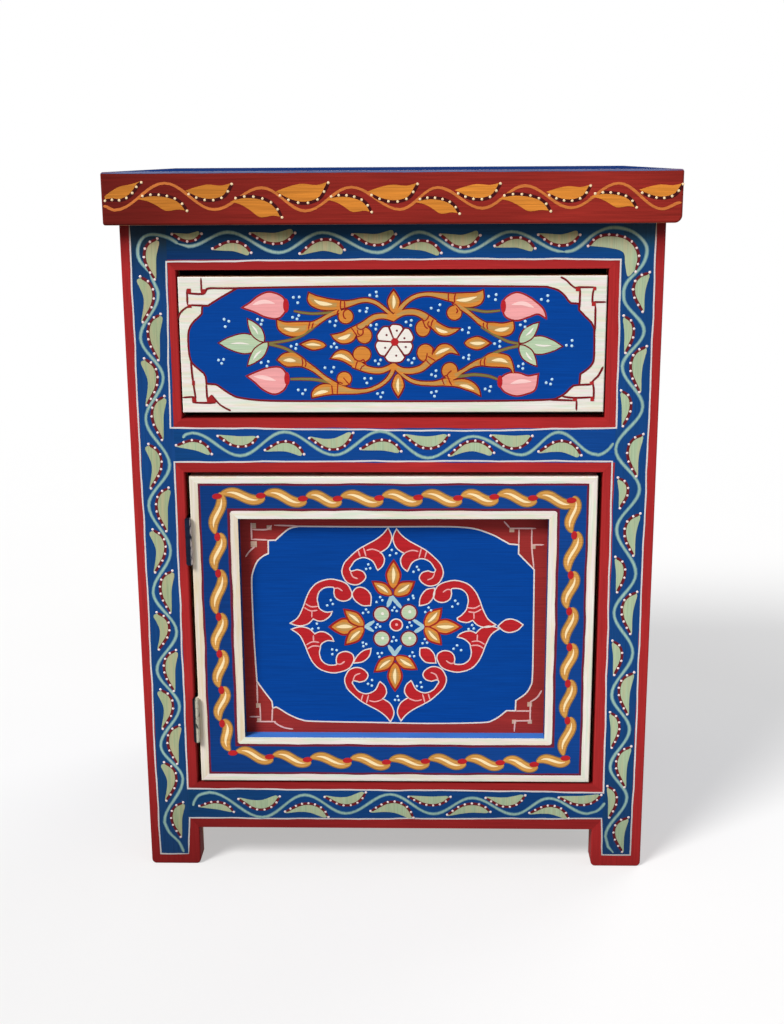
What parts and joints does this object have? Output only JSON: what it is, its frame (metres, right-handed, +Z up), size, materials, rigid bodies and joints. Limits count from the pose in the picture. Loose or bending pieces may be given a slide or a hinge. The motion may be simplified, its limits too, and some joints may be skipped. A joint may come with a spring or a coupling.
{
  "type": "bedside cabinet",
  "caption": "Small painted wooden bedside cabinet with an overhanging top, a drawer over a hinged panelled door, and short feet.",
  "frame": {"origin": "on the floor under the middle of the top board's plan, which is the middle of the whole part's plan", "axes": "+X to the cabinet's right seen from the front, +Y to the back, +Z up"},
  "size_m": [0.455, 0.33, 0.6],
  "materials": {
    "top_paint": "brushed satin paint",
    "carcass_paint": "brushed satin paint",
    "drawer_paint": "brushed satin paint",
    "door_paint": "brushed satin paint",
    "bare_wood": "planed bare softwood",
    "thin_board": "sanded thin board",
    "hinge_steel": "darkened steel",
    "fastener_steel": "zinc plated steel",
    "catch_plastic": "moulded matt"
  },
  "bodies": {
    "root": {"back_panel": "thin_board", "back_panel_nails": "fastener_steel", "bottom_board": "bare_wood", "bottom_rail": "carcass_paint", "catch_body": "catch_plastic", "catch_magnet": "hinge_steel", "catch_screws": "hinge_steel", "cleat_screws": "fastener_steel", "divider_board": "bare_wood", "hinge_frame_screws": "hinge_steel", "left_divider_cleat": "bare_wood", "left_drawer_guide": "bare_wood", "left_drawer_runner": "bare_wood", "left_floor_cleat": "bare_wood", "left_side_panel": "carcass_paint", "left_stile": "carcass_paint", "left_top_cleat": "bare_wood", "lower_hinge_frame_leaf": "hinge_steel", "lower_hinge_pin": "hinge_steel", "middle_rail": "carcass_paint", "right_divider_cleat": "bare_wood", "right_drawer_guide": "bare_wood", "right_drawer_runner": "bare_wood", "right_floor_cleat": "bare_wood", "right_side_panel": "carcass_paint", "right_stile": "carcass_paint", "right_top_cleat": "bare_wood", "runner_screws": "fastener_steel", "top_board": "top_paint", "top_rail": "carcass_paint", "upper_hinge_frame_leaf": "hinge_steel", "upper_hinge_pin": "hinge_steel"},
    "drawer": {"drawer_back": "bare_wood", "drawer_bottom": "thin_board", "drawer_front": "drawer_paint", "drawer_left_side": "bare_wood", "drawer_nails": "fastener_steel", "drawer_right_side": "bare_wood"},
    "door": {"door_bottom_rail": "door_paint", "door_hinge_stile": "door_paint", "door_latch_stile": "door_paint", "door_panel": "door_paint", "door_top_rail": "door_paint", "upper_hinge_door_leaf": "hinge_steel", "lower_hinge_door_leaf": "hinge_steel", "hinge_door_screws": "hinge_steel", "strike_plate": "hinge_steel", "strike_screw": "hinge_steel"}
  },
  "joints": [
    {"name": "drawer_slide", "type": "slide", "parent": "root", "child": "drawer", "axis": [0, -1, 0], "range_m": [0, 0.2]},
    {"name": "door_hinge", "type": "hinge", "parent": "root", "child": "door", "pos_m": [-0.17135, -0.15705, 0], "axis": [0, 0, -1], "range_deg": [0, 170]}
  ]
}
